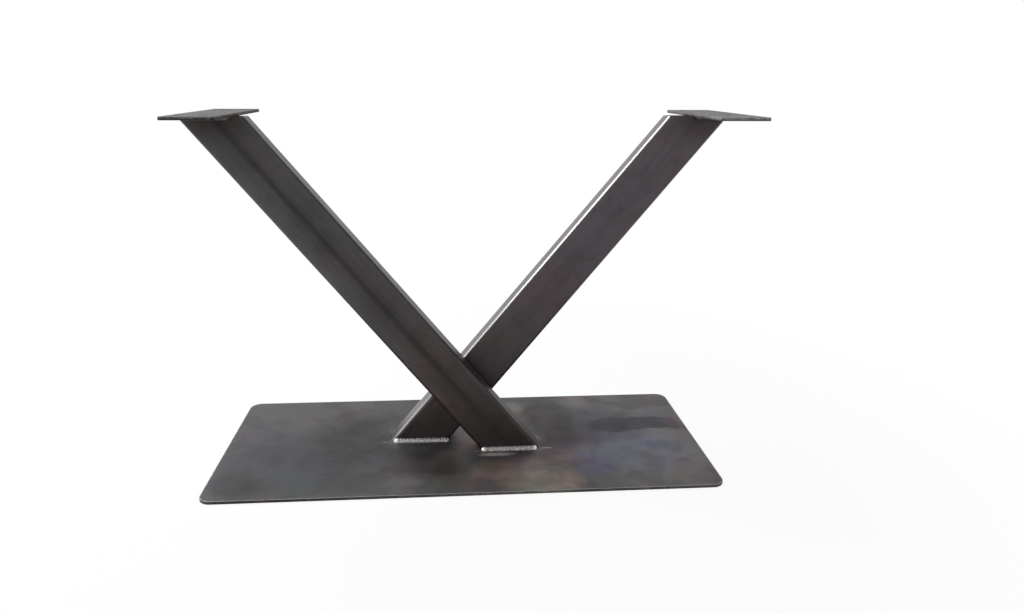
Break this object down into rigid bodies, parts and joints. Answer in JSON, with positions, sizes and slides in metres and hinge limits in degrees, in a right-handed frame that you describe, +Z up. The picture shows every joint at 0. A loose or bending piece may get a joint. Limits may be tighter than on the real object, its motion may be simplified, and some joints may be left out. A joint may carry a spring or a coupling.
{
  "type": "table leg",
  "caption": "Welded raw steel table leg: crossed rectangular tubes rise from a flat floor plate to small drilled top plates.",
  "frame": {"origin": "middle of the floor plate's underside, on the floor", "axes": "+Z up; +X along the length of the floor plate, to the right seen from the front; +Y to the rear, away from the viewer of the picture"},
  "size_m": [0.6899, 0.265, 0.445],
  "materials": {
    "plate_steel": "raw hot-rolled sheet with dark mill scale, satin",
    "tube_steel": "raw rolled tube, dark, satin, slightly streaked along its length",
    "weld_metal": "bare rippled weld bead, semi-bright"
  },
  "bodies": {
    "root": {"floor_plate": "plate_steel", "front_tube": "tube_steel", "rear_tube": "tube_steel", "left_top_plate": "plate_steel", "right_top_plate": "plate_steel", "front_tube_foot_weld_front": "weld_metal", "front_tube_foot_weld_rear": "weld_metal", "rear_tube_foot_weld_front": "weld_metal", "rear_tube_foot_weld_rear": "weld_metal", "left_plate_weld_front": "weld_metal", "left_plate_weld_rear": "weld_metal", "right_plate_weld_front": "weld_metal", "right_plate_weld_rear": "weld_metal"}
  },
  "joints": []
}
